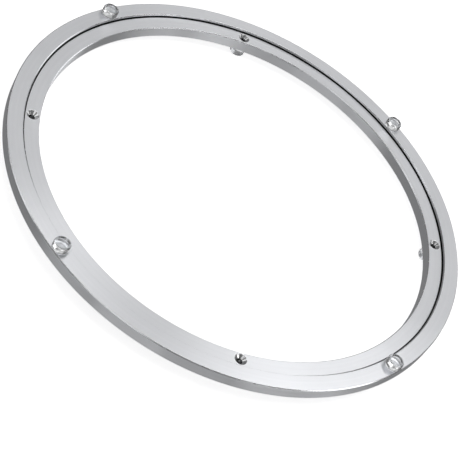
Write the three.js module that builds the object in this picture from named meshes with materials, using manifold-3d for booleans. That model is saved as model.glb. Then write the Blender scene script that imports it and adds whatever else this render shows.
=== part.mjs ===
// Ring turntable bearing for a banding wheel: two flat aluminium rings, one inside the other, with an open
// middle. The inner ring is screwed down. The outer ring stands a little proud of it and turns on a row of
// caged steel balls that runs in the gap between the two. Clear bumper pads stand under the inner ring and on
// top of the outer ring.
//
// Units are millimetres, +Z is up, the turning axis is Z, and the feet of the lower pads stand on z = 0.

import * as THREE from 'three';
import { mergeVertices } from 'three/addons/utils/BufferGeometryUtils.js';
import Module from 'manifold-3d';

const wasm = await Module();
wasm.setup();

// ---------------------------------------------------------------- driving dimensions

// Rings
const outerRadius = 150;          // outside wall of the outer ring
const outerRingWidth = 10.3;      // radial width of the outer ring
const innerRingWidth = 9.65;      // radial width of the inner ring
const ringGap = 0.55;             // running gap seen between the two rings
const ringHeight = 7.85;          // height of each ring
const ringStep = 1.85;            // how far the outer ring stands above the inner one, at both ends
const edgeChamfer = 0.5;          // broken edge on every corner of both rings
const outerRestTurn = 41.2;       // degrees from the first screw hole to the first upper pad at rest

// Screw holes in the inner ring
const screwHoleCount = 4;
const screwHoleRadius = 1.8;      // clearance hole for a 3.5 mm countersunk screw
const countersinkRadius = 3.7;    // mouth of the 90 degree countersink

// Bumper pads
const padCount = 4;               // on each side
const padRadius = 5.1;
const padHeight = 4.9;
const padShoulder = 1.3;          // radius of the rounded upper edge
const padFootUndercut = 0.35;     // how much narrower the glued face is than the pad

// Balls and races
const ballRadius = 1.5;
const ballCount = 36;
const raceClearance = 0.15;       // between a ball and the groove that it rolls in

// Cage
const cageThickness = 1.3;        // radial
const cageWeb = 0.35;             // material left above and below a pocket
const pocketClearance = 0.15;     // between a ball and its pocket
const cageSideClearance = 0.3;    // between the cage and each ring, radially
const cageEndClearance = 0.2;     // between the cage and the lips above and below it
const cageSplit = 0.8;            // gap where the springy strip is cut through

// Ball filling hole in the outer ring and its plug
const fillerClearance = 0.35;     // lets a ball pass through the filling hole
const plugClearance = 0.3;        // between the plug and its hole, and between its nose and the balls
const fillerTurn = 22.5;          // degrees from the first upper pad

// Facets
const ringSides = 96;
const raceSteps = 4;              // across a groove
const padSides = 20;
const shoulderSteps = 3;          // across a pad's rounded upper edge
const holeSides = 24;
const pocketSides = 12;
const ballDetail = 1;             // subdivisions of an icosahedron

const cutProud = 1;               // how far a cutter stands past what it cuts

// ---------------------------------------------------------------- derived places

const outerRingBore = outerRadius - outerRingWidth;
const innerRingRadius = outerRingBore - ringGap;
const innerRingBore = innerRingRadius - innerRingWidth;
const innerRingMiddle = (innerRingRadius + innerRingBore) / 2;
const outerRingMiddle = (outerRadius + outerRingBore) / 2;

const innerBottom = padHeight;
const innerTop = innerBottom + ringHeight;
const outerBottom = innerBottom + ringStep;
const outerTop = outerBottom + ringHeight;

const pitchRadius = (outerRingBore + innerRingRadius) / 2;
const raceHeight = (outerBottom + innerTop) / 2;
const raceRadius = ballRadius + raceClearance;
const pocketRadius = ballRadius + pocketClearance;
const cageHeight = 2 * (pocketRadius + cageWeb);
const channelDepth = cageThickness / 2 + cageSideClearance;
const channelHalfHeight = cageHeight / 2 + cageEndClearance;
const lipHeight = (innerTop - outerBottom) / 2 - channelHalfHeight;
const lipChamfer = Math.min(edgeChamfer, lipHeight / 2);

const fillerRadius = ballRadius + fillerClearance;
const plugRadius = fillerRadius - plugClearance;
const plugNose = pitchRadius + raceRadius + plugClearance;
const plugTail = outerRadius - edgeChamfer;

const degree = Math.PI / 180;

// ---------------------------------------------------------------- materials

const aluminium = { color: 0xc9cacc, roughness: 0.38, metalness: 0.9 };
const steel = { color: 0xd8d8d8, roughness: 0.12, metalness: 1 };
const nylon = { color: 0x24262a, roughness: 0.55, metalness: 0 };
const clearVinyl = { color: 0xf2f4f5, roughness: 0.08, metalness: 0, transparent: true, opacity: 0.4 };

// ---------------------------------------------------------------- shape helpers

// Turns a half section, a list of [radius, height], about Z. The section closes on itself, or starts and ends
// on the axis. It may be given in either direction.
function revolve(section, sides) {
  const outline = [...section, section[0]];
  let area = 0;
  for (let i = 0; i < section.length; i += 1) {
    const [r0, z0] = outline[i];
    const [r1, z1] = outline[i + 1];
    area += r0 * z1 - r1 * z0;
  }
  const loop = section[0][0] === 0 ? section : outline;
  const ordered = area > 0 ? loop : [...loop].reverse();
  const points = ordered.map(([r, z]) => new THREE.Vector2(r, z));
  return new THREE.LatheGeometry(points, sides).rotateX(Math.PI / 2);
}

// Points of a round corner or groove about [r, z], from one angle to another in degrees.
function arc(r, z, radius, from, to, steps) {
  const points = [];
  for (let i = 0; i <= steps; i += 1) {
    const angle = (from + (to - from) * i / steps) * degree;
    points.push([r + radius * Math.cos(angle), z + radius * Math.sin(angle)]);
  }
  return points;
}

function toSolid(geometry) {
  const bare = geometry.clone();
  bare.deleteAttribute('normal');
  bare.deleteAttribute('uv');
  const merged = mergeVertices(bare);
  return new wasm.Manifold(new wasm.Mesh({
    numProp: 3,
    vertProperties: new Float32Array(merged.attributes.position.array),
    triVerts: new Uint32Array(merged.index.array),
  }));
}

function toGeometry(solid) {
  const mesh = solid.getMesh();
  const geometry = new THREE.BufferGeometry();
  geometry.setAttribute('position', new THREE.BufferAttribute(new Float32Array(mesh.vertProperties), 3));
  geometry.setIndex(new THREE.BufferAttribute(new Uint32Array(mesh.triVerts), 1));
  geometry.computeVertexNormals();
  return geometry;
}

function cut(geometry, cutters) {
  let solid = toSolid(geometry);
  for (const cutter of cutters) {
    solid = solid.subtract(toSolid(cutter));
  }
  return toGeometry(solid);
}

// Angles of evenly spaced copies about Z, in radians.
function spaced(count) {
  return Array.from({ length: count }, (_, i) => i * 2 * Math.PI / count);
}

// A round bar along the radius at angle, from one radius to another, at the height of the balls.
function radialBar(radius, from, to, angle, sides) {
  return new THREE.CylinderGeometry(radius, radius, to - from, sides)
    .rotateZ(-Math.PI / 2)
    .translate((from + to) / 2, 0, raceHeight)
    .rotateZ(angle);
}

function addPart(group, name, geometry, finish) {
  const part = new THREE.Mesh(geometry, new THREE.MeshStandardMaterial(finish));
  part.name = name;
  group.add(part);
  return part;
}

// ---------------------------------------------------------------- rings

// Half section of a ring. wall is its plain wall and face the wall that looks across the gap. Because one ring
// stands above the other, the face has a thick lip at one end of the channel and a thin lip at the other, where
// the chamfer is smaller.
function ringSection(wall, face, bottom, top) {
  const out = Math.sign(wall - face);
  const c = edgeChamfer;
  const channel = pitchRadius + out * channelDepth;
  const edge = Math.acos(channelDepth / raceRadius) / degree;
  const middle = out > 0 ? 0 : 180;
  const topChamfer = top > outerTop - ringStep / 2 ? c : lipChamfer;
  const bottomChamfer = bottom < innerBottom + ringStep / 2 ? c : lipChamfer;
  return [
    [wall, bottom + c],
    [wall, top - c],
    [wall - out * c, top],
    [face + out * topChamfer, top],
    [face, top - topChamfer],
    [face, raceHeight + channelHalfHeight],
    [channel, raceHeight + channelHalfHeight],
    ...arc(pitchRadius, raceHeight, raceRadius, middle + out * edge, middle - out * edge, raceSteps),
    [channel, raceHeight - channelHalfHeight],
    [face, raceHeight - channelHalfHeight],
    [face, bottom + bottomChamfer],
    [face + out * bottomChamfer, bottom],
    [wall - out * c, bottom],
  ];
}

function screwHoleCutter() {
  const section = [
    [0, innerBottom - cutProud],
    [screwHoleRadius, innerBottom - cutProud],
    [screwHoleRadius, innerTop - (countersinkRadius - screwHoleRadius)],
    [countersinkRadius + cutProud, innerTop + cutProud],
    [0, innerTop + cutProud],
  ];
  return revolve(section, holeSides);
}

function innerRingGeometry() {
  const ring = revolve(ringSection(innerRingBore, innerRingRadius, innerBottom, innerTop), ringSides);
  const cutters = spaced(screwHoleCount).map((angle) => screwHoleCutter()
    .translate(innerRingMiddle, 0, 0)
    .rotateZ(angle));
  return cut(ring, cutters);
}

function outerRingGeometry() {
  const ring = revolve(ringSection(outerRadius, outerRingBore, outerBottom, outerTop), ringSides);
  const filler = radialBar(fillerRadius, pitchRadius, outerRadius + cutProud, fillerTurn * degree, holeSides);
  return cut(ring, [filler]);
}

// ---------------------------------------------------------------- balls, cage and plug

function cageGeometry() {
  const inside = pitchRadius - cageThickness / 2;
  const outside = pitchRadius + cageThickness / 2;
  const low = raceHeight - cageHeight / 2;
  const high = raceHeight + cageHeight / 2;
  const strip = revolve([[inside, low], [outside, low], [outside, high], [inside, high]], ringSides);
  const pockets = spaced(ballCount)
    .map((angle) => radialBar(pocketRadius, inside - cutProud, outside + cutProud, angle, pocketSides));
  const split = new THREE.BoxGeometry(cageThickness + 2 * cutProud, cageSplit, cageHeight + 2 * cutProud)
    .translate(pitchRadius, 0, raceHeight)
    .rotateZ(Math.PI / ballCount);
  return cut(strip, [...pockets, split]);
}

function plugGeometry() {
  return radialBar(plugRadius, plugNose, plugTail, fillerTurn * degree, holeSides);
}

// ---------------------------------------------------------------- pads

// A pad glued to a face at height z, standing up from it (side = 1) or hanging down (side = -1).
function padGeometry(z, side) {
  const foot = padRadius - padFootUndercut;
  const shoulder = padHeight - padShoulder;
  const section = [
    [0, 0],
    [foot, 0],
    [padRadius, padFootUndercut],
    ...arc(padRadius - padShoulder, shoulder, padShoulder, 0, 90, shoulderSteps),
    [0, padHeight],
  ];
  return revolve(section.map(([r, h]) => [r, z + side * h]), padSides);
}

function addPads(group, name, z, side, circleRadius) {
  spaced(padCount).forEach((angle, i) => {
    const pad = addPart(group, `${name}_${i + 1}`, padGeometry(z, side), clearVinyl);
    pad.position.set(circleRadius * Math.cos(angle), circleRadius * Math.sin(angle), 0);
  });
}

// ---------------------------------------------------------------- assembly

const bearing = new THREE.Group();

const fixedRing = new THREE.Group();
addPart(fixedRing, 'inner_ring', innerRingGeometry(), aluminium);
addPads(fixedRing, 'bottom_pad', innerBottom, -1, innerRingMiddle);

const turningRing = new THREE.Group();
turningRing.rotation.z = outerRestTurn * degree;
addPart(turningRing, 'outer_ring', outerRingGeometry(), aluminium);
addPart(turningRing, 'filler_plug', plugGeometry(), aluminium);
addPads(turningRing, 'top_pad', outerTop, 1, outerRingMiddle);

const ballTrain = new THREE.Group();
addPart(ballTrain, 'ball_cage', cageGeometry(), nylon);
spaced(ballCount).forEach((angle, i) => {
  const name = `ball_${String(i + 1).padStart(2, '0')}`;
  const ball = addPart(ballTrain, name, new THREE.IcosahedronGeometry(ballRadius, ballDetail), steel);
  ball.position.set(pitchRadius * Math.cos(angle), pitchRadius * Math.sin(angle), raceHeight);
});

bearing.add(fixedRing, turningRing, ballTrain);

export default bearing;
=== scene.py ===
"""Looks of a ring turntable bearing: two satin aluminium rings with a row of caged steel balls between them.

The inner ring stands still on four vinyl bumper pads. The outer ring turns, with four more pads on top.
Lengths are in metres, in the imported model's frame. The turning axis is Z, and the lower pads stand on z = 0.
"""

import math

import bmesh
import bpy
from mathutils import Matrix, Vector


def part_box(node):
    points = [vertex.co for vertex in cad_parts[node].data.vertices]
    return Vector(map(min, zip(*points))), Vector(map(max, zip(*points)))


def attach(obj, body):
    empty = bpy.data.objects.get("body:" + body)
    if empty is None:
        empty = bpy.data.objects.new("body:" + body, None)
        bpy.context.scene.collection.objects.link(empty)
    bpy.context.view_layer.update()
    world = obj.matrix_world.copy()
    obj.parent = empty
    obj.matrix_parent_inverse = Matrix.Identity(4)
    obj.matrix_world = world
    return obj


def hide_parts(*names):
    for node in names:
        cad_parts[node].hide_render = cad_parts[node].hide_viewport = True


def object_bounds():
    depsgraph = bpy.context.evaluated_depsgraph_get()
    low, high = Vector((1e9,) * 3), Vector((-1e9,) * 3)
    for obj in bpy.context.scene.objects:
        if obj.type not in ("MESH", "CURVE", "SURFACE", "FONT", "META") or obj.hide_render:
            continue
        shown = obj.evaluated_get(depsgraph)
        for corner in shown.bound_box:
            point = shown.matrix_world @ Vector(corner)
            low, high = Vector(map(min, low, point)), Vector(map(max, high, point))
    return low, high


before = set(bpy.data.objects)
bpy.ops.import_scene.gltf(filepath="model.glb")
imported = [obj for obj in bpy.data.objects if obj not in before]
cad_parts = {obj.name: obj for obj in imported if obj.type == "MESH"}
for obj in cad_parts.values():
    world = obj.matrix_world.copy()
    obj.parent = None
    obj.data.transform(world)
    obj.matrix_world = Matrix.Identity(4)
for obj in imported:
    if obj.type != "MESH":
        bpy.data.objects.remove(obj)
cad_low, cad_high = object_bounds()

MM = 0.001


# ---------------------------------------------------------------- sizes from the frame


def middle(node):
    low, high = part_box(node)
    return (low + high) / 2


def off_axis(point):
    return math.hypot(point.x, point.y)


def turn_of(point):
    return math.atan2(point.y, point.x)


def middle_radius(node):
    return off_axis(middle(node))


INNER_LOW, INNER_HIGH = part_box("inner_ring")
OUTER_LOW, OUTER_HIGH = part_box("outer_ring")
CAGE_LOW, CAGE_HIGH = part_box("ball_cage")
BALL_LOW, BALL_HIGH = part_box("ball_01")

INNER_MIDDLE = middle_radius("bottom_pad_1")
OUTER_MIDDLE = middle_radius("top_pad_1")
INNER_FACE = INNER_HIGH.x
INNER_BORE = 2 * INNER_MIDDLE - INNER_FACE
OUTER_WALL = cad_high.x
OUTER_BORE = 2 * OUTER_MIDDLE - OUTER_WALL
PITCH_RADIUS = (INNER_FACE + OUTER_BORE) / 2
RACE_HEIGHT = middle("ball_cage").z
BALL_NAMES = sorted(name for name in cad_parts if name.startswith("ball_") and name != "ball_cage")
PAD_NUMBERS = (1, 2, 3, 4)

# Rings
EDGE_CHAMFER = 0.5 * MM
THIN_LIP_CHAMFER = 0.4 * MM
EDGE_ROUND = 0.14 * MM            # small radius where a chamfer meets a face
RACE_RADIUS = 1.65 * MM
CHANNEL_DEPTH = 0.95 * MM         # from the pitch circle to the channel's floor
CHANNEL_HALF_HEIGHT = 2.2 * MM
RING_SEGMENTS = 480
GAP_SHADE_REACH = 0.33 * MM          # how far from the pitch circle the walls of the running gap get painted shade
GAP_SHADE_FULL = 0.5 * MM            # height above the inner ring's top where the painted shade starts to thin out
GAP_SHADE_END = 1.0 * MM             # and where it ends

# Screw holes
HOLE_COUNT = 4
HOLE_RADIUS = 1.8 * MM
COUNTERSINK_RADIUS = 3.7 * MM
EDGE_BREAK = 0.12 * MM            # width of the flat that takes the burr off a hole's edge
SCREW_HOLE_SIDES = 72

# Bumper pads
PAD_RADIUS = 5.1 * MM
PAD_FOOT_RADIUS = 4.75 * MM
PAD_SHOULDER = 1.3 * MM
PAD_DISH_RADIUS = 3.5 * MM
PAD_DISH_DEPTH = 0.3 * MM
PAD_WAIST = 0.9 * MM              # height at which the undercut foot reaches the full radius
PAD_FOOT_ROUND = 0.12 * MM
PAD_WAIST_ROUND = 0.5 * MM
PAD_RIM_ROUND = 0.1 * MM
PAD_DISH_ROUND = 0.2 * MM
PAD_SEGMENTS = 56
GLUE_LINE = 0.03 * MM

# Ball filling hole and plug
FILLER_RADIUS = 1.85 * MM
PLUG_RADIUS = 1.55 * MM
PLUG_EDGE = 0.2 * MM
DIMPLE_SHARE = 0.45               # of the plug's radius
DIMPLE_SLOPE = 0.8                # depth for each unit of radius
DIMPLE_EDGE = 0.08 * MM
PLUG_SEGMENTS = 40
FILLER_HOLE_SIDES = 48

# Cage and balls
CAGE_THICKNESS = 1.3 * MM
POCKET_RADIUS = 1.65 * MM
CAGE_SPLIT = 0.8 * MM
CAGE_EDGE = 0.15 * MM
CAGE_SEGMENTS = 360
POCKET_SIDES = 24
BALL_SEGMENTS = 28

CUTTER_PROUD = 1 * MM             # how far a cutter stands past what it cuts
CREASE_ANGLE = 35                 # degrees, above which an edge of a cut piece is shaded sharp
SMOOTH_ANGLE = 50                 # the same for the balls, the pads and the plug


# ---------------------------------------------------------------- camera


def place_camera():
    azimuth = math.radians(-23.949)
    elevation = math.radians(42.718)
    roll = math.radians(34.144)
    distance = 0.8972
    aim_side = -0.00723
    aim_rise = -0.02886
    back = Vector((
        math.sin(azimuth) * math.cos(elevation),
        -math.cos(azimuth) * math.cos(elevation),
        math.sin(elevation),
    ))
    right = (-back).cross(Vector((0, 0, 1))).normalized()
    up = back.cross(right)
    camera_x = math.cos(roll) * right + math.sin(roll) * up
    camera_y = -math.sin(roll) * right + math.cos(roll) * up
    aim = Vector((0, 0, OUTER_HIGH.z)) + camera_x * aim_side + camera_y * aim_rise
    place = Matrix((camera_x, camera_y, back)).transposed().to_4x4()
    place.translation = aim + back * distance
    camera = bpy.data.cameras.new("camera")
    camera.lens = 114.47
    camera.sensor_width = 36
    camera.clip_start = 0.01
    camera.clip_end = 20
    holder = bpy.data.objects.new("camera", camera)
    holder.matrix_world = place
    bpy.context.scene.collection.objects.link(holder)
    bpy.context.scene.camera = holder


place_camera()


# ---------------------------------------------------------------- node tree helpers


def add_node(tree, kind, **settings):
    node = tree.nodes.new(kind)
    for name, value in settings.items():
        setattr(node, name, value)
    return node


def feed(tree, source, node, socket):
    """Puts a value, or what another node's socket gives, into a node's input."""
    if isinstance(source, bpy.types.NodeSocket):
        tree.links.new(source, node.inputs[socket])
    else:
        node.inputs[socket].default_value = source


def math_node(tree, operation, *sources, clamp=False):
    node = add_node(tree, "ShaderNodeMath", operation=operation, use_clamp=clamp)
    for i, source in enumerate(sources):
        feed(tree, source, node, i)
    return node.outputs[0]


def vector_node(tree, operation, *sources):
    node = add_node(tree, "ShaderNodeVectorMath", operation=operation)
    for i, source in enumerate(sources):
        feed(tree, source, node, i)
    return node.outputs["Value" if operation in ("LENGTH", "DOT_PRODUCT") else "Vector"]


def smooth_step(tree, value, start, end):
    """0 at the start value, 1 at the end value, and smooth between. The start may be the higher one."""
    node = add_node(tree, "ShaderNodeMapRange", interpolation_type="SMOOTHSTEP")
    feed(tree, value, node, "Value")
    feed(tree, start, node, "From Min")
    feed(tree, end, node, "From Max")
    return node.outputs["Result"]


def noise_node(tree, coordinates, scale, detail, **settings):
    node = add_node(tree, "ShaderNodeTexNoise", **settings)
    feed(tree, coordinates, node, "W" if settings.get("noise_dimensions") == "1D" else "Vector")
    feed(tree, scale, node, "Scale")
    feed(tree, detail, node, "Detail")
    return node


def height_of(tree, vector):
    return vector_node(tree, "DOT_PRODUCT", vector, (0.0, 0.0, 1.0))


def distance_off_axis(tree, vector):
    return vector_node(tree, "LENGTH", vector_node(tree, "MULTIPLY", vector, (1.0, 1.0, 0.0)))


def new_tree(name, kind, inputs, outputs):
    """A node tree with named sockets, and its input and output nodes. inputs: (name, socket type, value)."""
    tree = bpy.data.node_groups.new(name, kind)
    for label, socket_type, value in inputs:
        socket = tree.interface.new_socket(name=label, in_out="INPUT", socket_type=socket_type)
        if value is not None:
            socket.default_value = value
    for label, socket_type in outputs:
        tree.interface.new_socket(name=label, in_out="OUTPUT", socket_type=socket_type)
    return tree, add_node(tree, "NodeGroupInput"), add_node(tree, "NodeGroupOutput")


# ---------------------------------------------------------------- shader groups


def turning_marks_group():
    """Fine concentric tool marks, as a height and as a mask of lighter and darker bands."""
    tree, given, made = new_tree("turning marks", "ShaderNodeTree", [
        ("Position", "NodeSocketVector", None),
        ("Marks per metre", "NodeSocketFloat", 2500.0),
        ("Waviness", "NodeSocketFloat", 0.6),
    ], [("Height", "NodeSocketFloat"), ("Bands", "NodeSocketFloat")])
    position = given.outputs["Position"]
    bands_per_mark = 0.13
    across = math_node(tree, "ADD", distance_off_axis(tree, position), height_of(tree, position))
    drift = noise_node(tree, position, 18.0, 2.0)
    sway = math_node(tree, "MULTIPLY", drift.outputs["Fac"], given.outputs["Waviness"])
    count = math_node(tree, "MULTIPLY", across, given.outputs["Marks per metre"])
    swayed = math_node(tree, "ADD", count, sway)
    fine = noise_node(tree, swayed, 1.0, 2.0, noise_dimensions="1D")
    bands = math_node(tree, "MULTIPLY", count, bands_per_mark)
    wide = noise_node(tree, bands, 1.0, 2.0, noise_dimensions="1D")
    feed(tree, fine.outputs["Fac"], made, "Height")
    feed(tree, wide.outputs["Fac"], made, "Bands")
    return tree


def handling_group():
    """Faint cloudy smudges and small scuffs from handling."""
    tree, given, made = new_tree("handling", "ShaderNodeTree", [
        ("Position", "NodeSocketVector", None),
        ("Size", "NodeSocketFloat", 60.0),
        ("Scuffs", "NodeSocketFloat", 0.5),
    ], [("Smudge", "NodeSocketFloat"), ("Scuff", "NodeSocketFloat")])
    specks_per_cloud = 9.0
    position = given.outputs["Position"]
    cloud = noise_node(tree, position, given.outputs["Size"], 3.0)
    feed(tree, 0.8, cloud, "Distortion")
    speck_size = math_node(tree, "MULTIPLY", given.outputs["Size"], specks_per_cloud)
    speck = noise_node(tree, position, speck_size, 2.0)
    sparse = smooth_step(tree, speck.outputs["Fac"], 0.58, 0.78)
    scuff = math_node(tree, "MULTIPLY", sparse, given.outputs["Scuffs"])
    feed(tree, cloud.outputs["Fac"], made, "Smudge")
    feed(tree, scuff, made, "Scuff")
    return tree


def grain_group():
    """Very fine even grain, such as a matt anodised or moulded skin."""
    tree, given, made = new_tree("fine grain", "ShaderNodeTree", [
        ("Position", "NodeSocketVector", None),
        ("Grains per metre", "NodeSocketFloat", 4000.0),
    ], [("Height", "NodeSocketFloat")])
    grain = noise_node(tree, given.outputs["Position"], given.outputs["Grains per metre"], 2.0)
    feed(tree, grain.outputs["Fac"], made, "Height")
    return tree


def broken_edge_group():
    """Mask of the chamfers and rounded edges of a ring: where a face neither lies flat nor stands upright."""
    tree, given, made = new_tree("broken edge", "ShaderNodeTree", [
        ("Position", "NodeSocketVector", None),
        ("Patchiness", "NodeSocketFloat", 0.5),
    ], [("Edge", "NodeSocketFloat")])
    rise = height_of(tree, add_node(tree, "ShaderNodeNewGeometry").outputs["Normal"])
    squared = math_node(tree, "MULTIPLY", rise, rise)
    slope = math_node(tree, "MULTIPLY", squared, math_node(tree, "SUBTRACT", 1.0, squared))
    slant = math_node(tree, "MULTIPLY", slope, 4.0, clamp=True)
    patch = noise_node(tree, given.outputs["Position"], 90.0, 2.0)
    missing = math_node(tree, "MULTIPLY", patch.outputs["Fac"], given.outputs["Patchiness"])
    feed(tree, math_node(tree, "SUBTRACT", slant, missing, clamp=True), made, "Edge")
    return tree


TURNING_MARKS = turning_marks_group()
HANDLING = handling_group()
FINE_GRAIN = grain_group()
BROKEN_EDGE = broken_edge_group()


# ---------------------------------------------------------------- materials


def new_material(name):
    material = bpy.data.materials.new(name)
    material.use_nodes = True
    tree = material.node_tree
    shader = tree.nodes["Principled BSDF"]
    position = add_node(tree, "ShaderNodeTexCoord").outputs["Object"]
    return material, tree, shader, position


def gap_shade_mask(tree, position):
    """Painted shade: 1 on the walls deep in the running gap, which are coloured near black, and 0 from a
    little above the inner ring's top upwards.
    """
    off_pitch = math_node(tree, "SUBTRACT", distance_off_axis(tree, position), PITCH_RADIUS)
    near = math_node(tree, "LESS_THAN", math_node(tree, "ABSOLUTE", off_pitch), GAP_SHADE_REACH)
    end = INNER_HIGH.z + GAP_SHADE_END
    full = INNER_HIGH.z + GAP_SHADE_FULL
    return math_node(tree, "MULTIPLY", near, smooth_step(tree, height_of(tree, position), end, full))


def use_group(tree, group, **values):
    node = add_node(tree, "ShaderNodeGroup", node_tree=group)
    for label, value in values.items():
        feed(tree, value, node, label.replace("_", " "))
    return node.outputs


def blend_colours(tree, share, first, second):
    node = add_node(tree, "ShaderNodeMix", data_type="RGBA")
    feed(tree, share, node, 0)
    feed(tree, first, node, 6)
    feed(tree, second, node, 7)
    return node.outputs[2]


def between(tree, share, low, high):
    """A value from low to high as the share goes from 0 to 1."""
    node = add_node(tree, "ShaderNodeMapRange")
    feed(tree, share, node, "Value")
    feed(tree, low, node, "To Min")
    feed(tree, high, node, "To Max")
    return node.outputs["Result"]


def add_bump(tree, shader, layers):
    """Chains bump layers, each (height, distance in metres), into the shader's normal."""
    normal = None
    for height, distance in layers:
        bump = add_node(tree, "ShaderNodeBump")
        feed(tree, height, bump, "Height")
        feed(tree, distance, bump, "Distance")
        if normal is not None:
            feed(tree, normal, bump, "Normal")
        normal = bump.outputs["Normal"]
    feed(tree, normal, shader, "Normal")


def across_grooves(tree, from_axis):
    """Direction along the surface and across grooves round an axis. It turns with the piece."""
    around = vector_node(tree, "CROSS_PRODUCT", (0.0, 0.0, 1.0), from_axis)
    turned = add_node(tree, "ShaderNodeVectorTransform", convert_from="OBJECT", convert_to="WORLD")
    feed(tree, around, turned, "Vector")
    normal = add_node(tree, "ShaderNodeNewGeometry").outputs["Normal"]
    across = vector_node(tree, "CROSS_PRODUCT", turned.outputs["Vector"], normal)
    return vector_node(tree, "NORMALIZE", across)


def turned_aluminium():
    """Satin, finely turned aluminium with softly shining broken edges, and painted shade that colours the
    walls deep in the running gap near black.
    """
    material, tree, shader, position = new_material("turned_aluminium")
    marks = use_group(tree, TURNING_MARKS, Position=position, Marks_per_metre=3200.0, Waviness=0.8)
    handling = use_group(tree, HANDLING, Position=position, Size=42.0, Scuffs=0.5)
    grain = use_group(tree, FINE_GRAIN, Position=position, Grains_per_metre=2600.0)
    edge = use_group(tree, BROKEN_EDGE, Position=position, Patchiness=0.35)["Edge"]
    pale = (0.89, 0.90, 0.925, 1.0)
    dull = (0.82, 0.83, 0.855, 1.0)
    streak = (0.77, 0.78, 0.805, 1.0)
    bare = (0.90, 0.91, 0.93, 1.0)
    clouded = blend_colours(tree, handling["Smudge"], pale, dull)
    streaks = math_node(tree, "MULTIPLY", marks["Bands"], 0.7)
    banded = blend_colours(tree, streaks, clouded, streak)
    worn = blend_colours(tree, edge, banded, bare)
    # Painted shade: the walls deep in the running gap are coloured near black.
    gap_shade_colour = (0.02, 0.02, 0.02, 1.0)
    gap_shade = gap_shade_mask(tree, position)
    feed(tree, blend_colours(tree, gap_shade, worn, gap_shade_colour), shader, "Base Color")
    satin = between(tree, handling["Smudge"], 0.27, 0.33)
    scuffed = math_node(tree, "ADD", satin, math_node(tree, "MULTIPLY", handling["Scuff"], 0.05))
    polish = math_node(tree, "MULTIPLY", edge, 0.04)
    feed(tree, math_node(tree, "SUBTRACT", scuffed, polish), shader, "Roughness")
    shader.inputs["Metallic"].default_value = 1.0
    shader.inputs["Anisotropic"].default_value = 0.75
    feed(tree, across_grooves(tree, position), shader, "Tangent")
    add_bump(tree, shader, [(marks["Height"], 0.004 * MM), (grain["Height"], 0.004 * MM)])
    return material


def countersunk_aluminium():
    """Bright aluminium in a countersunk hole: tool marks round its axis, chatter, light and dark wedges of
    painted reflection, and painted shade that darkens the drilled bore with depth.
    """
    material, tree, shader, position = new_material("countersunk_aluminium")
    from_axis = add_node(tree, "ShaderNodeAttribute", attribute_name="from_hole_axis").outputs["Vector"]
    marks = use_group(tree, TURNING_MARKS, Position=from_axis, Marks_per_metre=5200.0, Waviness=0.2)
    handling = use_group(tree, HANDLING, Position=position, Size=180.0, Scuffs=0.3)
    bright = (0.93, 0.935, 0.94, 1.0)
    shade = (0.66, 0.665, 0.68, 1.0)
    painted_bore_shade = (0.04, 0.04, 0.042, 1.0)
    # Painted reflection: the chatter also colours the cone in light and dark wedges round the hole, which
    # stand in for wedges of reflected light.
    chatter = noise_node(tree, vector_node(tree, "NORMALIZE", from_axis), 2.6, 2.0).outputs["Fac"]
    contrast = 2.5
    level = 0.5 - 0.5 * contrast
    painted_reflection_wedges = math_node(tree, "MULTIPLY_ADD", chatter, contrast, level, clamp=True)
    cone = blend_colours(tree, painted_reflection_wedges, bright, shade)
    # Painted shade: below the cone's foot the drilled bore darkens to near black with depth.
    cone_foot = INNER_HIGH.z - COUNTERSINK_RADIUS + HOLE_RADIUS
    darkest = INNER_HIGH.z - 3 * HOLE_RADIUS
    sunk = smooth_step(tree, height_of(tree, position), cone_foot, darkest)
    feed(tree, blend_colours(tree, sunk, cone, painted_bore_shade), shader, "Base Color")
    feed(tree, between(tree, handling["Smudge"], 0.16, 0.28), shader, "Roughness")
    shader.inputs["Metallic"].default_value = 1.0
    shader.inputs["Anisotropic"].default_value = 0.4
    feed(tree, across_grooves(tree, from_axis), shader, "Tangent")
    add_bump(tree, shader, [(marks["Height"], 0.004 * MM), (chatter, 0.08 * MM)])
    return material


def machined_aluminium():
    """Machined end of the filling plug, a little brighter and rougher than the ring."""
    material, tree, shader, position = new_material("machined_aluminium")
    handling = use_group(tree, HANDLING, Position=position, Size=420.0, Scuffs=0.8)
    grain = use_group(tree, FINE_GRAIN, Position=position, Grains_per_metre=5200.0)
    bright = (0.84, 0.845, 0.85, 1.0)
    dull = (0.66, 0.665, 0.67, 1.0)
    feed(tree, blend_colours(tree, handling["Smudge"], bright, dull), shader, "Base Color")
    feed(tree, between(tree, handling["Scuff"], 0.30, 0.45), shader, "Roughness")
    shader.inputs["Metallic"].default_value = 1.0
    add_bump(tree, shader, [(grain["Height"], 0.006 * MM)])
    return material


def bearing_steel():
    """Polished bearing steel with a faint bluish cast and hairline running marks."""
    material, tree, shader, position = new_material("bearing_steel")
    handling = use_group(tree, HANDLING, Position=position, Size=700.0, Scuffs=0.6)
    marks = use_group(tree, TURNING_MARKS, Position=position, Marks_per_metre=9000.0, Waviness=2.5)
    clean = (0.74, 0.75, 0.77, 1.0)
    oiled = (0.56, 0.55, 0.52, 1.0)
    feed(tree, blend_colours(tree, handling["Scuff"], clean, oiled), shader, "Base Color")
    feed(tree, between(tree, handling["Smudge"], 0.06, 0.16), shader, "Roughness")
    shader.inputs["Metallic"].default_value = 1.0
    add_bump(tree, shader, [(marks["Height"], 0.0008 * MM)])
    return material


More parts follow.
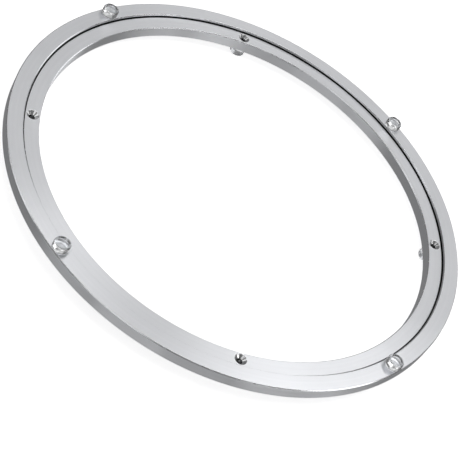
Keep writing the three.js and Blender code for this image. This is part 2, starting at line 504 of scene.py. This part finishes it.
def moulded_nylon():
    """Black nylon strip with a fine moulded skin, dusty patches and paler rubbed edges."""
    material, tree, shader, position = new_material("moulded_nylon")
    handling = use_group(tree, HANDLING, Position=position, Size=120.0, Scuffs=0.5)
    grain = use_group(tree, FINE_GRAIN, Position=position, Grains_per_metre=3000.0)
    edge = use_group(tree, BROKEN_EDGE, Position=position, Patchiness=0.6)["Edge"]
    black = (0.016, 0.016, 0.017, 1.0)
    dusty = (0.045, 0.044, 0.042, 1.0)
    rubbed = (0.075, 0.075, 0.078, 1.0)
    aged = blend_colours(tree, handling["Smudge"], black, dusty)
    feed(tree, blend_colours(tree, edge, aged, rubbed), shader, "Base Color")
    feed(tree, between(tree, handling["Smudge"], 0.42, 0.62), shader, "Roughness")
    add_bump(tree, shader, [(grain["Height"], 0.01 * MM)])
    return material


def clear_vinyl():
    """Clear soft vinyl with a faint matt bloom and a slightly uneven moulded surface."""
    material, tree, shader, position = new_material("clear_vinyl")
    handling = use_group(tree, HANDLING, Position=position, Size=320.0, Scuffs=0.5)
    grain = use_group(tree, FINE_GRAIN, Position=position, Grains_per_metre=900.0)
    clear = (0.95, 0.955, 0.96, 1.0)
    hazy = (0.88, 0.89, 0.90, 1.0)
    feed(tree, blend_colours(tree, handling["Smudge"], clear, hazy), shader, "Base Color")
    feed(tree, between(tree, handling["Smudge"], 0.06, 0.14), shader, "Roughness")
    shader.inputs["Transmission Weight"].default_value = 1.0
    shader.inputs["IOR"].default_value = 1.5
    add_bump(tree, shader, [(grain["Height"], 0.01 * MM)])
    return material


def floor_paper():
    """Plain white studio paper."""
    material, tree, shader, position = new_material("floor_paper")
    grain = use_group(tree, FINE_GRAIN, Position=position, Grains_per_metre=40.0)
    white = (0.90, 0.90, 0.90, 1.0)
    fibre = (0.88, 0.88, 0.88, 1.0)
    feed(tree, blend_colours(tree, grain["Height"], white, fibre), shader, "Base Color")
    shader.inputs["Roughness"].default_value = 0.9
    shader.inputs["Specular IOR Level"].default_value = 0.0
    shader.inputs["Emission Color"].default_value = (1.0, 1.0, 1.0, 1.0)
    shader.inputs["Emission Strength"].default_value = 0.7
    material.cycles.emission_sampling = "NONE"
    return material


TURNED = turned_aluminium()
COUNTERSUNK = countersunk_aluminium()
PLUG = machined_aluminium()
STEEL = bearing_steel()
NYLON = moulded_nylon()
VINYL = clear_vinyl()


# ---------------------------------------------------------------- outlines and mesh code


def arc(x, y, radius, start, end, steps):
    """Points of an arc about (x, y), from one angle to another in degrees."""
    turns = [math.radians(start + (end - start) * i / steps) for i in range(steps + 1)]
    return [(x + radius * math.cos(turn), y + radius * math.sin(turn)) for turn in turns]


def rounded(corners, steps=3):
    """An outline whose corners (x, y, radius) are arcs. A corner with radius 0 stays as it is."""
    outline = []
    for i, (x, y, radius) in enumerate(corners):
        here = Vector((x, y))
        to_last = (Vector(corners[i - 1][:2]) - here).normalized()
        to_next = (Vector(corners[(i + 1) % len(corners)][:2]) - here).normalized()
        if radius == 0:
            outline.append((x, y))
            continue
        half_turn = (math.pi - to_last.angle(to_next)) / 2
        reach = radius * math.tan(half_turn)
        centre = here + (to_last + to_next).normalized() * (radius / math.cos(half_turn))
        first = here + to_last * reach - centre
        last = here + to_next * reach - centre
        for k in range(steps + 1):
            arm = first.lerp(last, k / steps).normalized() * radius
            outline.append(tuple(centre + arm))
    return outline


def ring_section(wall, face, bottom, top):
    """Half section of a ring as (radius, height). Wall is its plain wall, and face the one at the gap."""
    out = math.copysign(1, wall - face)
    channel = PITCH_RADIUS + out * CHANNEL_DEPTH
    edge = math.degrees(math.acos(CHANNEL_DEPTH / RACE_RADIUS))
    groove_middle = 0 if out > 0 else 180
    top_chamfer = EDGE_CHAMFER if top == OUTER_HIGH.z else THIN_LIP_CHAMFER
    bottom_chamfer = EDGE_CHAMFER if bottom == INNER_LOW.z else THIN_LIP_CHAMFER
    groove = arc(PITCH_RADIUS, RACE_HEIGHT, RACE_RADIUS,
                 groove_middle + out * edge, groove_middle - out * edge, 10)
    corners = [
        (wall, bottom + EDGE_CHAMFER, EDGE_ROUND),
        (wall, top - EDGE_CHAMFER, EDGE_ROUND),
        (wall - out * EDGE_CHAMFER, top, EDGE_ROUND),
        (face + out * top_chamfer, top, EDGE_ROUND),
        (face, top - top_chamfer, EDGE_ROUND),
        (face, RACE_HEIGHT + CHANNEL_HALF_HEIGHT, 0),
        (channel, RACE_HEIGHT + CHANNEL_HALF_HEIGHT, 0),
        *[(r, z, 0) for r, z in groove],
        (channel, RACE_HEIGHT - CHANNEL_HALF_HEIGHT, 0),
        (face, RACE_HEIGHT - CHANNEL_HALF_HEIGHT, 0),
        (face, bottom + bottom_chamfer, EDGE_ROUND),
        (face + out * bottom_chamfer, bottom, EDGE_ROUND),
        (wall - out * EDGE_CHAMFER, bottom, EDGE_ROUND),
    ]
    return rounded(corners)


def shape_object(name, mesh):
    shape = bpy.data.objects.new(name, mesh)
    bpy.context.scene.collection.objects.link(shape)
    return shape


def section_object(name, section, path_radius):
    """A section as a closed wire for the sweep, which takes x outwards from the path and y downwards."""
    area = sum(a[0] * b[1] - a[1] * b[0] for a, b in zip(section, section[1:] + section[:1]))
    ordered = section if area > 0 else section[::-1]
    points = [(r - path_radius, -z, 0) for r, z in ordered]
    edges = [(i, (i + 1) % len(points)) for i in range(len(points))]
    mesh = bpy.data.meshes.new(name)
    mesh.from_pydata(points, edges, [])
    return shape_object(name, mesh)


def lathe_object(name, section, segments):
    """Turns a section from the axis back to the axis, as (radius, height), into a closed solid about Z."""
    made = bmesh.new()
    rings = []
    for radius, height in section:
        count = 1 if radius < 1e-9 else segments
        turns = [2 * math.pi * k / segments for k in range(count)]
        rings.append([made.verts.new((radius * math.cos(t), radius * math.sin(t), height)) for t in turns])
    for low, high in zip(rings, rings[1:]):
        for k in range(segments):
            quad = [low[k % len(low)], low[(k + 1) % len(low)]]
            quad += [high[(k + 1) % len(high)], high[k % len(high)]]
            made.faces.new(list(dict.fromkeys(quad)))
    bmesh.ops.recalc_face_normals(made, faces=made.faces)
    for face in made.faces:
        face.smooth = True
    mesh = bpy.data.meshes.new(name)
    made.to_mesh(mesh)
    made.free()
    return shape_object(name, mesh)


# ---------------------------------------------------------------- geometry trees


GEOMETRY = [("Geometry", "NodeSocketGeometry")]


def link_through(tree, *nodes):
    """Chains nodes by their first output and first input, and gives the last output."""
    for earlier, later in zip(nodes, nodes[1:]):
        tree.links.new(earlier.outputs[0], later.inputs[0])
    return nodes[-1].outputs[0]


def swept_ring_group():
    """Sweeps a closed section round Z."""
    tree, given, made = new_tree("swept ring", "GeometryNodeTree", [
        ("Section", "NodeSocketObject", None),
        ("Path radius", "NodeSocketFloat", 0.1),
        ("Segments", "NodeSocketInt", 96),
    ], GEOMETRY)
    wire = add_node(tree, "GeometryNodeObjectInfo")
    feed(tree, given.outputs["Section"], wire, "Object")
    profile = add_node(tree, "GeometryNodeMeshToCurve")
    tree.links.new(wire.outputs["Geometry"], profile.inputs["Mesh"])
    path = add_node(tree, "GeometryNodeCurvePrimitiveCircle")
    feed(tree, given.outputs["Path radius"], path, "Radius")
    feed(tree, given.outputs["Segments"], path, "Resolution")
    upright = add_node(tree, "GeometryNodeSetCurveNormal", mode="Z_UP")
    tree.links.new(path.outputs["Curve"], upright.inputs["Curve"])
    sweep = add_node(tree, "GeometryNodeCurveToMesh")
    feed(tree, upright.outputs["Curve"], sweep, "Curve")
    feed(tree, profile.outputs["Curve"], sweep, "Profile Curve")
    feed(tree, sweep.outputs["Mesh"], made, "Geometry")
    return tree


def finish_tree(tree, shape, finish, made, sharp_angle):
    """Smooth shading except at sharp edges, Realize Instances and Set Material, into the output."""
    angle = add_node(tree, "GeometryNodeInputMeshEdgeAngle")
    sharp = math_node(tree, "GREATER_THAN", angle.outputs["Unsigned Angle"], math.radians(sharp_angle))
    realize = add_node(tree, "GeometryNodeRealizeInstances")
    all_smooth = add_node(tree, "GeometryNodeSetShadeSmooth", domain="FACE")
    creased = add_node(tree, "GeometryNodeSetShadeSmooth", domain="EDGE")
    feed(tree, sharp, creased, "Selection")
    feed(tree, False, creased, "Shade Smooth")
    feed(tree, shape, realize, 0)
    if finish is None:
        feed(tree, link_through(tree, realize, all_smooth, creased), made, "Geometry")
        return
    painted = add_node(tree, "GeometryNodeSetMaterial")
    feed(tree, finish, painted, "Material")
    feed(tree, link_through(tree, realize, painted, all_smooth, creased), made, "Geometry")


def axes_node(tree, **parts):
    """A vector from some of its X, Y and Z parts."""
    node = add_node(tree, "ShaderNodeCombineXYZ")
    for axis, source in parts.items():
        feed(tree, source, node, axis)
    return node.outputs[0]


def moved_node(tree, shape, **moves):
    """A shape after a Translation, a Rotation or both."""
    node = add_node(tree, "GeometryNodeTransform")
    feed(tree, shape, node, "Geometry")
    for label, source in moves.items():
        feed(tree, source, node, label)
    return node.outputs["Geometry"]


def painted_node(tree, shape, finish):
    node = add_node(tree, "GeometryNodeSetMaterial")
    feed(tree, shape, node, "Geometry")
    feed(tree, finish, node, "Material")
    return node.outputs["Geometry"]


def cone_node(tree, sides, low_radius, high_radius, low, high):
    """A closed cone or cylinder about Z, from one height to another."""
    cone = add_node(tree, "GeometryNodeMeshCone")
    feed(tree, sides, cone, "Vertices")
    feed(tree, low_radius, cone, "Radius Bottom")
    feed(tree, high_radius, cone, "Radius Top")
    feed(tree, math_node(tree, "SUBTRACT", high, low), cone, "Depth")
    return moved_node(tree, cone.outputs["Mesh"], Translation=axes_node(tree, Z=low))


def boolean_node(tree, operation, shapes, cutters):
    boolean = add_node(tree, "GeometryNodeMeshBoolean", operation=operation, solver="EXACT")
    if operation == "DIFFERENCE":
        tree.links.new(shapes[0], boolean.inputs["Mesh 1"])
    for cutter in cutters:
        tree.links.new(cutter, boolean.inputs["Mesh 2"])
    return boolean.outputs["Mesh"]


def repeated_round(tree, shape, count, radius):
    """Copies of a shape on a circle about Z, each turned to face outwards, as real geometry."""
    circle = add_node(tree, "GeometryNodeMeshCircle")
    feed(tree, count, circle, "Vertices")
    feed(tree, radius, circle, "Radius")
    index = add_node(tree, "GeometryNodeInputIndex").outputs[0]
    step = math_node(tree, "DIVIDE", 2 * math.pi, count)
    facing = axes_node(tree, Z=math_node(tree, "MULTIPLY", index, step))
    copies = add_node(tree, "GeometryNodeInstanceOnPoints")
    feed(tree, circle.outputs["Mesh"], copies, "Points")
    feed(tree, shape, copies, "Instance")
    feed(tree, facing, copies, "Rotation")
    real = add_node(tree, "GeometryNodeRealizeInstances")
    feed(tree, copies.outputs["Instances"], real, 0)
    return real.outputs[0]


def ring_sweep(tree, given, swept_ring):
    """The swept_ring group, fed from a tree's own section inputs."""
    sweep = add_node(tree, "GeometryNodeGroup", node_tree=swept_ring)
    for label in ("Section", "Path radius", "Segments"):
        feed(tree, given.outputs[label], sweep, label)
    return painted_node(tree, sweep.outputs["Geometry"], given.outputs["Finish"])


SWEEP_INPUTS = [
    ("Section", "NodeSocketObject", None),
    ("Path radius", "NodeSocketFloat", 0.1),
    ("Segments", "NodeSocketInt", 96),
    ("Finish", "NodeSocketMaterial", None),
]


def screwed_ring_tree(swept_ring):
    """A ring with countersunk screw holes, each with its burr taken off."""
    tree, given, made = new_tree("screwed ring", "GeometryNodeTree", SWEEP_INPUTS + [
        ("Hole finish", "NodeSocketMaterial", None),
        ("Hole count", "NodeSocketInt", 4),
        ("Hole circle", "NodeSocketFloat", 0.1),
        ("Hole radius", "NodeSocketFloat", 0.002),
        ("Countersink radius", "NodeSocketFloat", 0.004),
        ("Edge break", "NodeSocketFloat", 0.0001),
        ("Bottom", "NodeSocketFloat", 0.0),
        ("Top", "NodeSocketFloat", 0.01),
        ("Hole sides", "NodeSocketInt", 64),
    ], GEOMETRY)
    size = given.outputs
    proud = CUTTER_PROUD
    core = math_node(tree, "MULTIPLY", size["Hole radius"], 0.5)
    above = math_node(tree, "ADD", size["Top"], proud)
    below = math_node(tree, "SUBTRACT", size["Bottom"], proud)
    drill = cone_node(tree, size["Hole sides"], size["Hole radius"], size["Hole radius"], below, above)
    apex = math_node(tree, "SUBTRACT", size["Top"], size["Countersink radius"])
    sink_low = math_node(tree, "ADD", apex, core)
    sink_high_radius = math_node(tree, "ADD", size["Countersink radius"], proud)
    sink = cone_node(tree, size["Hole sides"], core, sink_high_radius, sink_low, above)
    shallow = 0.4
    mouth = math_node(tree, "ADD", size["Countersink radius"], size["Edge break"])
    break_low_radius = math_node(tree, "MULTIPLY", size["Countersink radius"], 0.5)
    break_depth = math_node(tree, "MULTIPLY", math_node(tree, "SUBTRACT", mouth, break_low_radius), shallow)
    break_low = math_node(tree, "SUBTRACT", size["Top"], break_depth)
    break_high_radius = math_node(tree, "ADD", mouth, proud / shallow)
    mouth_break = cone_node(tree, size["Hole sides"], break_low_radius, break_high_radius, break_low, above)
    exit_radius = math_node(tree, "ADD", size["Hole radius"], size["Edge break"])
    exit_low_radius = math_node(tree, "ADD", exit_radius, proud)
    exit_high = math_node(tree, "ADD", size["Bottom"], math_node(tree, "SUBTRACT", exit_radius, core))
    exit_break = cone_node(tree, size["Hole sides"], exit_low_radius, core, below, exit_high)
    cutter = boolean_node(tree, "UNION", [], [drill, sink, mouth_break, exit_break])
    place = add_node(tree, "GeometryNodeInputPosition").outputs[0]
    remember = add_node(tree, "GeometryNodeStoreNamedAttribute", data_type="FLOAT_VECTOR", domain="FACE")
    feed(tree, cutter, remember, "Geometry")
    feed(tree, "from_hole_axis", remember, "Name")
    feed(tree, vector_node(tree, "MULTIPLY", place, (1.0, 1.0, 0.0)), remember, "Value")
    painted = painted_node(tree, remember.outputs["Geometry"], size["Hole finish"])
    cutters = repeated_round(tree, painted, size["Hole count"], size["Hole circle"])
    ring = ring_sweep(tree, given, swept_ring)
    cut = boolean_node(tree, "DIFFERENCE", [ring], [cutters])
    finish_tree(tree, cut, None, made, CREASE_ANGLE)
    return tree


def radial_bar(tree, sides, low_radius, high_radius, start, end, height):
    """A closed cone or cylinder along X at a height."""
    bar = cone_node(tree, sides, low_radius, high_radius, start, end)
    laid = moved_node(tree, bar, Rotation=(0.0, math.pi / 2, 0.0))
    return moved_node(tree, laid, Translation=axes_node(tree, Z=height))


def filled_ring_tree(swept_ring):
    """A ring with a radial ball filling hole through its wall."""
    tree, given, made = new_tree("filled ring", "GeometryNodeTree", SWEEP_INPUTS + [
        ("Filling hole radius", "NodeSocketFloat", 0.002),
        ("Filling hole turn", "NodeSocketFloat", 0.0),
        ("Edge break", "NodeSocketFloat", 0.0001),
        ("Wall radius", "NodeSocketFloat", 0.15),
        ("Race height", "NodeSocketFloat", 0.01),
        ("Hole sides", "NodeSocketInt", 48),
    ], GEOMETRY)
    size = given.outputs
    proud = CUTTER_PROUD
    outside = math_node(tree, "ADD", size["Wall radius"], proud)
    drill = radial_bar(tree, size["Hole sides"], size["Filling hole radius"], size["Filling hole radius"],
                       size["Path radius"], outside, size["Race height"])
    core = math_node(tree, "MULTIPLY", size["Filling hole radius"], 0.5)
    mouth = math_node(tree, "ADD", size["Filling hole radius"], size["Edge break"])
    inside = math_node(tree, "SUBTRACT", size["Wall radius"], math_node(tree, "SUBTRACT", mouth, core))
    break_cone = radial_bar(tree, size["Hole sides"], core, math_node(tree, "ADD", mouth, proud),
                            inside, outside, size["Race height"])
    cutter = boolean_node(tree, "UNION", [], [drill, break_cone])
    placed = moved_node(tree, cutter, Rotation=axes_node(tree, Z=size["Filling hole turn"]))
    ring = ring_sweep(tree, given, swept_ring)
    cut = boolean_node(tree, "DIFFERENCE", [ring], [painted_node(tree, placed, size["Finish"])])
    finish_tree(tree, cut, None, made, CREASE_ANGLE)
    return tree


def pocketed_strip_tree(swept_ring):
    """A strip bent into a ring, with a round pocket for each ball and a split."""
    tree, given, made = new_tree("pocketed strip", "GeometryNodeTree", SWEEP_INPUTS + [
        ("Pocket count", "NodeSocketInt", 36),
        ("Pocket radius", "NodeSocketFloat", 0.002),
        ("Thickness", "NodeSocketFloat", 0.001),
        ("Height", "NodeSocketFloat", 0.004),
        ("Race height", "NodeSocketFloat", 0.01),
        ("Split", "NodeSocketFloat", 0.001),
        ("Pocket sides", "NodeSocketInt", 24),
    ], GEOMETRY)
    size = given.outputs
    proud = CUTTER_PROUD
    reach = math_node(tree, "ADD", math_node(tree, "MULTIPLY", size["Thickness"], 0.5), proud)
    back = math_node(tree, "MULTIPLY", reach, -1.0)
    pocket = radial_bar(tree, size["Pocket sides"], size["Pocket radius"], size["Pocket radius"],
                        back, reach, size["Race height"])
    pockets = repeated_round(tree, pocket, size["Pocket count"], size["Path radius"])
    block = add_node(tree, "GeometryNodeMeshCube")
    length = math_node(tree, "MULTIPLY", reach, 2.0)
    tall = math_node(tree, "ADD", size["Height"], 2 * proud)
    feed(tree, axes_node(tree, X=length, Y=size["Split"], Z=tall), block, "Size")
    on_path = axes_node(tree, X=size["Path radius"], Z=size["Race height"])
    placed = moved_node(tree, block.outputs["Mesh"], Translation=on_path)
    half_step = math_node(tree, "DIVIDE", math.pi, size["Pocket count"])
    split = moved_node(tree, placed, Rotation=axes_node(tree, Z=half_step))
    strip = ring_sweep(tree, given, swept_ring)
    cut = boolean_node(tree, "DIFFERENCE", [strip], [pockets, split])
    finish_tree(tree, cut, size["Finish"], made, CREASE_ANGLE)
    return tree


def placed_shape_tree():
    """A turned shape tilted about its own middle and set at a radius, turn and height."""
    tree, given, made = new_tree("placed shape", "GeometryNodeTree", [
        ("Shape", "NodeSocketObject", None),
        ("Finish", "NodeSocketMaterial", None),
        ("Tilt", "NodeSocketFloat", 0.0),
        ("Circle radius", "NodeSocketFloat", 0.1),
        ("Turn", "NodeSocketFloat", 0.0),
        ("Height", "NodeSocketFloat", 0.0),
    ], GEOMETRY)
    size = given.outputs
    shape = add_node(tree, "GeometryNodeObjectInfo")
    feed(tree, size["Shape"], shape, "Object")
    tilt = axes_node(tree, Y=size["Tilt"])
    place = axes_node(tree, X=size["Circle radius"], Z=size["Height"])
    placed = moved_node(tree, shape.outputs["Geometry"], Rotation=tilt, Translation=place)
    swung = moved_node(tree, placed, Rotation=axes_node(tree, Z=size["Turn"]))
    finish_tree(tree, swung, size["Finish"], made, SMOOTH_ANGLE)
    return tree


def make_piece(name, tree, values, weighted=False):
    """The plain mesh that a tree makes from these input values, as an object of its own."""
    carrier = shape_object(name + "_carrier", bpy.data.meshes.new(name + "_carrier"))
    modifier = carrier.modifiers.new("tree", "NODES")
    modifier.node_group = tree
    for item in tree.interface.items_tree:
        if item.in_out == "INPUT":
            modifier[item.identifier] = values[item.name]
    if weighted:
        even = carrier.modifiers.new("even_normals", "WEIGHTED_NORMAL")
        even.mode = "FACE_AREA"
        even.keep_sharp = True
    depsgraph = bpy.context.evaluated_depsgraph_get()
    evaluated = carrier.evaluated_get(depsgraph)
    mesh = bpy.data.meshes.new_from_object(evaluated, preserve_all_data_layers=True, depsgraph=depsgraph)
    mesh.name = name
    bpy.data.objects.remove(carrier)
    return shape_object(name, mesh)


def settle(piece, body, slot_name, *nodes):
    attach(piece, body)
    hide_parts(*nodes)


# ---------------------------------------------------------------- rings


def sweep_values(section, path_radius, finish, segments=RING_SEGMENTS):
    return {"Section": section, "Path radius": path_radius, "Segments": segments, "Finish": finish}


def make_inner_ring(swept_ring):
    section = section_object(
        "inner_section",
        ring_section(INNER_BORE, INNER_FACE, INNER_LOW.z, INNER_HIGH.z),
        PITCH_RADIUS,
    )
    ring = make_piece("satin_inner_ring", screwed_ring_tree(swept_ring), {
        **sweep_values(section, PITCH_RADIUS, TURNED),
        "Hole finish": COUNTERSUNK,
        "Hole count": HOLE_COUNT,
        "Hole circle": INNER_MIDDLE,
        "Hole radius": HOLE_RADIUS,
        "Countersink radius": COUNTERSINK_RADIUS,
        "Edge break": EDGE_BREAK,
        "Bottom": INNER_LOW.z,
        "Top": INNER_HIGH.z,
        "Hole sides": SCREW_HOLE_SIDES,
    }, weighted=True)
    bpy.data.objects.remove(section)
    settle(ring, "fixed_ring", "ring_aluminium", "inner_ring")


def make_outer_ring(swept_ring):
    section = section_object(
        "outer_section",
        ring_section(OUTER_WALL, OUTER_BORE, OUTER_LOW.z, OUTER_HIGH.z),
        PITCH_RADIUS,
    )
    ring = make_piece("satin_outer_ring", filled_ring_tree(swept_ring), {
        **sweep_values(section, PITCH_RADIUS, TURNED),
        "Filling hole radius": FILLER_RADIUS,
        "Filling hole turn": turn_of(middle("filler_plug")),
        "Edge break": EDGE_BREAK,
        "Wall radius": OUTER_WALL,
        "Race height": RACE_HEIGHT,
        "Hole sides": FILLER_HOLE_SIDES,
    }, weighted=True)
    bpy.data.objects.remove(section)
    settle(ring, "turning_ring", "ring_aluminium", "outer_ring")


# ---------------------------------------------------------------- cage, balls and plug


def make_cage(swept_ring):
    inside = PITCH_RADIUS - CAGE_THICKNESS / 2
    outside = PITCH_RADIUS + CAGE_THICKNESS / 2
    corners = [
        (inside, CAGE_LOW.z, CAGE_EDGE),
        (outside, CAGE_LOW.z, CAGE_EDGE),
        (outside, CAGE_HIGH.z, CAGE_EDGE),
        (inside, CAGE_HIGH.z, CAGE_EDGE),
    ]
    section = section_object("cage_section", rounded(corners), PITCH_RADIUS)
    cage = make_piece("nylon_ball_cage", pocketed_strip_tree(swept_ring), {
        **sweep_values(section, PITCH_RADIUS, NYLON, CAGE_SEGMENTS),
        "Pocket count": len(BALL_NAMES),
        "Pocket radius": POCKET_RADIUS,
        "Thickness": CAGE_THICKNESS,
        "Height": CAGE_HIGH.z - CAGE_LOW.z,
        "Race height": RACE_HEIGHT,
        "Split": CAGE_SPLIT,
        "Pocket sides": POCKET_SIDES,
    })
    bpy.data.objects.remove(section)
    settle(cage, "cage", "cage_nylon", "ball_cage")


def make_balls(placed_shape):
    radius = (BALL_HIGH.z - BALL_LOW.z) / 2
    half_circle = [(max(r, 0), z) for r, z in arc(0, 0, radius, -90, 90, BALL_SEGMENTS // 2)]
    half_circle[0] = (0, -radius)
    half_circle[-1] = (0, radius)
    shape = lathe_object("ball_shape", half_circle, BALL_SEGMENTS)
    for name in BALL_NAMES:
        ball = make_piece("steel_" + name, placed_shape, {
            "Shape": shape,
            "Finish": STEEL,
            "Tilt": 0.0,
            "Circle radius": PITCH_RADIUS,
            "Turn": turn_of(middle(name)),
            "Height": RACE_HEIGHT,
        })
        settle(ball, name, "ball_steel", name)
    bpy.data.objects.remove(shape)


def make_plug(placed_shape):
    """The plug lies along the radius. Its outer end has a small dimple for pulling it out."""
    low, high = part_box("filler_plug")
    tail = OUTER_WALL - EDGE_CHAMFER
    nose = PITCH_RADIUS + RACE_RADIUS + (FILLER_RADIUS - PLUG_RADIUS)
    dimple = DIMPLE_SHARE * PLUG_RADIUS
    corners = [
        (0, nose, 0),
        (PLUG_RADIUS, nose, PLUG_EDGE),
        (PLUG_RADIUS, tail, PLUG_EDGE),
        (dimple, tail, DIMPLE_EDGE),
        (0, tail - dimple * DIMPLE_SLOPE, 0),
    ]
    shape = lathe_object("plug_shape", rounded(corners, 4), PLUG_SEGMENTS)
    plug = make_piece("machined_filler_plug", placed_shape, {
        "Shape": shape,
        "Finish": PLUG,
        "Tilt": math.pi / 2,
        "Circle radius": 0.0,
        "Turn": turn_of((low + high) / 2),
        "Height": RACE_HEIGHT,
    })
    bpy.data.objects.remove(shape)
    settle(plug, "turning_ring", "plug_aluminium", "filler_plug")


# ---------------------------------------------------------------- bumper pads


def pad_section(height):
    """Half section of a pad from its glued face up: undercut foot, round shoulder, shallow dish on top."""
    rim = PAD_RADIUS - PAD_SHOULDER - PAD_RIM_ROUND
    side = rounded([
        (PAD_FOOT_RADIUS, GLUE_LINE, PAD_FOOT_ROUND),
        (PAD_RADIUS, PAD_WAIST, PAD_WAIST_ROUND),
        (PAD_RADIUS, height, PAD_SHOULDER),
        (rim, height, 0),
    ], 7)
    dish = rounded([
        (rim, height, 0),
        (PAD_DISH_RADIUS, height, PAD_RIM_ROUND),
        (PAD_DISH_RADIUS - PAD_DISH_DEPTH, height - PAD_DISH_DEPTH, PAD_DISH_ROUND),
        (0, height - PAD_DISH_DEPTH, 0),
    ], 6)
    return [(0, GLUE_LINE), *side[:-1], *dish]


def make_pads(placed_shape):
    height = INNER_LOW.z
    shape = lathe_object("pad_shape", pad_section(height), PAD_SEGMENTS)
    places = [
        ("top_pad", "turning_ring", OUTER_HIGH.z, 0.0),
        ("bottom_pad", "fixed_ring", INNER_LOW.z, math.pi),
    ]
    for group, body, level, tilt in places:
        for number in PAD_NUMBERS:
            name = f"{group}_{number}"
            pad = make_piece("vinyl_" + name, placed_shape, {
                "Shape": shape,
                "Finish": VINYL,
                "Tilt": tilt,
                "Circle radius": middle_radius(name),
                "Turn": turn_of(middle(name)),
                "Height": level,
            })
            settle(pad, body, "pad_vinyl", name)
    bpy.data.objects.remove(shape)


def make_bearing():
    swept_ring = swept_ring_group()
    placed_shape = placed_shape_tree()
    make_inner_ring(swept_ring)
    make_outer_ring(swept_ring)
    make_cage(swept_ring)
    make_balls(placed_shape)
    make_plug(placed_shape)
    make_pads(placed_shape)


make_bearing()


# ---------------------------------------------------------------- floor and light


def make_floor():
    """A wide sheet just under the pads. The metal doesn't mirror it, so it keeps its greys on white paper."""
    half = 4.0
    drop = 0.05 * MM
    mesh = bpy.data.meshes.new("floor")
    corners = [(-half, -half, -drop), (half, -half, -drop), (half, half, -drop), (-half, half, -drop)]
    mesh.from_pydata(corners, [], [(0, 1, 2, 3)])
    mesh.materials.append(floor_paper())
    floor = shape_object("floor", mesh)
    floor.visible_glossy = False
    floor.visible_shadow = False


def light_world(walls, ground):
    """Even light from the studio's walls and ceiling, and a dimmer ground."""
    world = bpy.data.worlds.new("studio")
    world.use_nodes = True
    tree = world.node_tree
    way = add_node(tree, "ShaderNodeTexCoord").outputs["Generated"]
    horizon = 0.03
    above = smooth_step(tree, height_of(tree, way), -horizon, horizon)
    background = tree.nodes["Background"]
    background.inputs["Color"].default_value = (1.0, 1.0, 1.0, 1.0)
    feed(tree, between(tree, above, ground, walls), background, "Strength")
    bpy.context.scene.world = world


def soft_box(name, azimuth, elevation, watts):
    """A square soft box that faces the middle of the bearing from a direction in degrees."""
    distance = 1.5
    side = 0.7
    light = bpy.data.lights.new(name, "AREA")
    light.shape = "SQUARE"
    light.size = side
    light.energy = watts
    a = math.radians(azimuth)
    e = math.radians(elevation)
    way = Vector((math.cos(a) * math.cos(e), math.sin(a) * math.cos(e), math.sin(e)))
    holder = bpy.data.objects.new(name, light)
    holder.location = way * distance
    holder.rotation_mode = "QUATERNION"
    holder.rotation_quaternion = way.to_track_quat("Z", "Y")
    bpy.context.scene.collection.objects.link(holder)


def light_bearing():
    light_world(0.15, 0.22)
    soft_box("top_right", 0, 72, 4.3)
    soft_box("top_back", 120, 72, 2.9)
    soft_box("key_right", 30, 55, 1.9)
    soft_box("key_back", 90, 55, 0.5)
    soft_box("front_fill", 232, 46, 1.3)
    soft_box("back_right", 60, 35, 0.9)
    soft_box("back", 90, 35, 0.5)
    soft_box("side_right", 27, 13, 1.8)
    soft_box("side_front_right", 330, 17, 3.2)
    soft_box("rim_left", 168, 32, 1.4)
    soft_box("low_left", 210, -10, 2.4)
    soft_box("low_front_right", 300, -10, 3.7)
    soft_box("bounce_back", 50, -25, 2.0)
    soft_box("bounce_left", 240, -35, 0.6)
    soft_box("bounce_front", 270, -35, 0.4)
    soft_box("bounce_right", 0, -60, 1.8)


make_floor()
light_bearing()

bpy.context.scene.view_settings.view_transform = "Standard"
